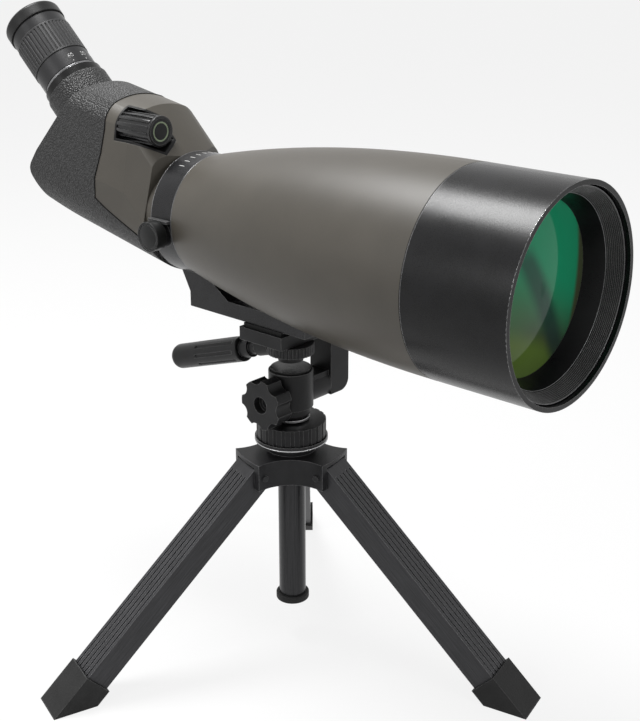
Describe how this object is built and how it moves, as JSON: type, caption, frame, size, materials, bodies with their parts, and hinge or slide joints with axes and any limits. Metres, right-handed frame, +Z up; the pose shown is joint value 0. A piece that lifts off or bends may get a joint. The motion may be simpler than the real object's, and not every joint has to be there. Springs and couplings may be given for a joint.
{
  "type": "spotting scope",
  "caption": "Angled spotting scope with zoom eyepiece and large objective, in a collar on a small pan and tilt tripod with folding legs.",
  "frame": {"origin": "on the floor, on the axis of the tripod's centre column", "axes": "+X forwards along the optical axis, towards the objective; +Z up; +Y to the left seen from behind"},
  "size_m": [0.457, 0.3077, 0.4049],
  "materials": {
    "hub_metal": "satin dark grey",
    "leg_alloy": "dark anodised, grooved on top",
    "foot_rubber": "matt",
    "pin_steel": "bright",
    "column_alloy": "dark anodised satin",
    "lock_plastic": "knurled, satin",
    "head_plastic": "matt, moulded",
    "bolt_black": "black oxide",
    "pad_rubber": "matt",
    "collar_metal": "satin black",
    "knob_plastic": "semi gloss",
    "barrel_coat": "soft-touch satin coating, brown grey",
    "housing_coat": "soft-touch satin coating, brown grey",
    "housing_rubber": "fine grained",
    "hood_metal": "satin gloss black",
    "inner_black": "matt inside",
    "lens_glass": "green anti-reflection coating",
    "clear_glass": "polished",
    "eyepiece_metal": "satin black",
    "eyecup_rubber": "satin"
  },
  "bodies": {
    "tripod": {"tripod_hub": "hub_metal", "leg_pins": "pin_steel", "column_collet": "column_alloy", "hub_base_ring": "hub_metal"},
    "leg_front_swing": {"leg_front": "leg_alloy", "foot_front": "foot_rubber"},
    "leg_left_swing": {"leg_left": "leg_alloy", "foot_left": "foot_rubber"},
    "leg_rear_swing": {"leg_rear": "leg_alloy", "foot_rear": "foot_rubber"},
    "column": {"column_tube": "column_alloy", "column_end_cap": "foot_rubber", "pan_stud": "pin_steel"},
    "column_lock": {"column_lock_collar": "lock_plastic"},
    "pan_head": {"head_body": "head_plastic", "head_cap": "head_plastic"},
    "tilt_stage": {"tilt_bracket": "head_plastic", "tilt_bolt": "bolt_black", "platform_pad": "pad_rubber", "mounting_collar": "collar_metal"},
    "tilt_lock": {"tilt_lock_knob": "head_plastic"},
    "pan_handle": {"handle_grip": "head_plastic", "handle_ferrule": "head_plastic", "handle_stud": "pin_steel"},
    "fixing_screw": {"camera_thumbwheel": "head_plastic", "camera_screw": "bolt_black"},
    "collar_lock": {"collar_lock_knob": "knob_plastic", "collar_lock_screw": "pin_steel"},
    "scope_tube": {"barrel_shell": "barrel_coat", "objective_cell": "hood_metal", "crown_lens": "lens_glass", "flint_lens": "clear_glass", "lens_spacer_ring": "inner_black", "lens_retaining_ring": "hood_metal", "front_cone_ring": "hood_metal", "light_baffle": "inner_black", "housing_front_shell": "housing_coat", "housing_rear_shell": "housing_rubber", "focus_pocket": "knob_plastic", "focus_guide_rod": "pin_steel", "erecting_prism": "clear_glass", "prism_holder": "inner_black", "eyepiece_barrel": "eyepiece_metal", "eyepiece_stop_ring": "eyepiece_metal", "eyepiece_top_band": "eyepiece_metal", "eyecup": "eyecup_rubber", "eye_lens_cell": "inner_black", "eye_lens": "clear_glass", "field_stop": "inner_black"},
    "hood": {"lens_hood": "hood_metal"},
    "focus_drive": {"focus_knob": "knob_plastic", "focus_knob_cap": "knob_plastic", "focus_lead_screw": "pin_steel"},
    "focus_cell": {"focus_carriage": "inner_black", "focusing_lens": "clear_glass"},
    "zoom_drive": {"zoom_ring": "eyepiece_metal"},
    "zoom_field": {"zoom_field_cell": "inner_black", "zoom_field_lens": "clear_glass"},
    "zoom_erector": {"zoom_erector_cell": "inner_black", "zoom_erector_lens": "clear_glass"}
  },
  "joints": [
    {"name": "leg_front_fold", "type": "hinge", "parent": "tripod", "child": "leg_front_swing", "pos_m": [0.02641, 0.00561, 0.1285], "axis": [-0.2079, 0.9781, 0], "range_deg": [0, 44]},
    {"name": "leg_left_fold", "type": "hinge", "parent": "tripod", "child": "leg_left_swing", "pos_m": [-0.00834, -0.02568, 0.1285], "axis": [0.9511, -0.309, 0], "range_deg": [0, 44]},
    {"name": "leg_rear_fold", "type": "hinge", "parent": "tripod", "child": "leg_rear_swing", "pos_m": [-0.01807, 0.02006, 0.1285], "axis": [-0.7431, -0.6691, 0], "range_deg": [0, 44]},
    {"name": "column_slide", "type": "slide", "parent": "tripod", "child": "column", "axis": [0, 0, 1], "range_m": [0, 0.07]},
    {"name": "column_lock_turn", "type": "hinge", "parent": "tripod", "child": "column_lock", "pos_m": [0, 0, 0.1535], "axis": [0, 0, 1], "range_deg": [-180, 0]},
    {"name": "head_pan", "type": "hinge", "parent": "column", "child": "pan_head", "pos_m": [0, 0, 0.1618], "axis": [0, 0, 1], "continuous": true},
    {"name": "head_tilt", "type": "hinge", "parent": "pan_head", "child": "tilt_stage", "pos_m": [0, 0, 0.176], "axis": [0, 1, 0], "range_deg": [-35, 45]},
    {"name": "tilt_lock_turn", "type": "hinge", "parent": "tilt_stage", "child": "tilt_lock", "pos_m": [0, -0.022, 0.176], "axis": [0, 1, 0], "range_deg": [-360, 0]},
    {"name": "handle_twist", "type": "hinge", "parent": "tilt_stage", "child": "pan_handle", "pos_m": [-0.027, 0, 0.201], "axis": [-0.9494, 0, -0.314], "range_deg": [-720, 0]},
    {"name": "fixing_screw_turn", "type": "hinge", "parent": "tilt_stage", "child": "fixing_screw", "pos_m": [0, 0, 0.207], "axis": [0, 0, 1], "range_deg": [-720, 0]},
    {"name": "collar_lock_turn", "type": "hinge", "parent": "tilt_stage", "child": "collar_lock", "pos_m": [-0.07345, -0.046, 0.275], "axis": [0, -1, 0], "range_deg": [-720, 0]},
    {"name": "tube_roll", "type": "hinge", "parent": "tilt_stage", "child": "scope_tube", "pos_m": [0, 0, 0.2812], "axis": [1, 0, 0], "continuous": true},
    {"name": "hood_slide", "type": "slide", "parent": "scope_tube", "child": "hood", "axis": [1, 0, 0], "range_m": [0, 0.04]},
    {"name": "focus_knob_spin", "type": "hinge", "parent": "scope_tube", "child": "focus_drive", "pos_m": [-0.0919, -0.0195, 0.3339], "axis": [1, 0, 0], "range_deg": [-570, 500]},
    {"name": "focus_cell_slide", "type": "slide", "parent": "scope_tube", "child": "focus_cell", "axis": [1, 0, 0], "range_m": [-0.0079, 0.0069]},
    {"name": "zoom_ring_turn", "type": "hinge", "parent": "scope_tube", "child": "zoom_drive", "pos_m": [-0.1247, 0, 0.2812], "axis": [-0.7431, 0, 0.6691], "range_deg": [0, 120]},
    {"name": "zoom_field_slide", "type": "slide", "parent": "scope_tube", "child": "zoom_field", "axis": [-0.7431, 0, 0.6691], "range_m": [0, 0.01]},
    {"name": "zoom_erector_slide", "type": "slide", "parent": "scope_tube", "child": "zoom_erector", "axis": [0.7431, 0, -0.6691], "range_m": [0, 0.008]}
  ],
  "couplings": [
    {"joint": "focus_knob_spin", "follows": "focus_cell_slide", "rad_per_m": 1256.3},
    {"joint": "zoom_field_slide", "follows": "zoom_ring_turn", "m_per_rad": 0.00477},
    {"joint": "zoom_erector_slide", "follows": "zoom_ring_turn", "m_per_rad": 0.00381}
  ]
}
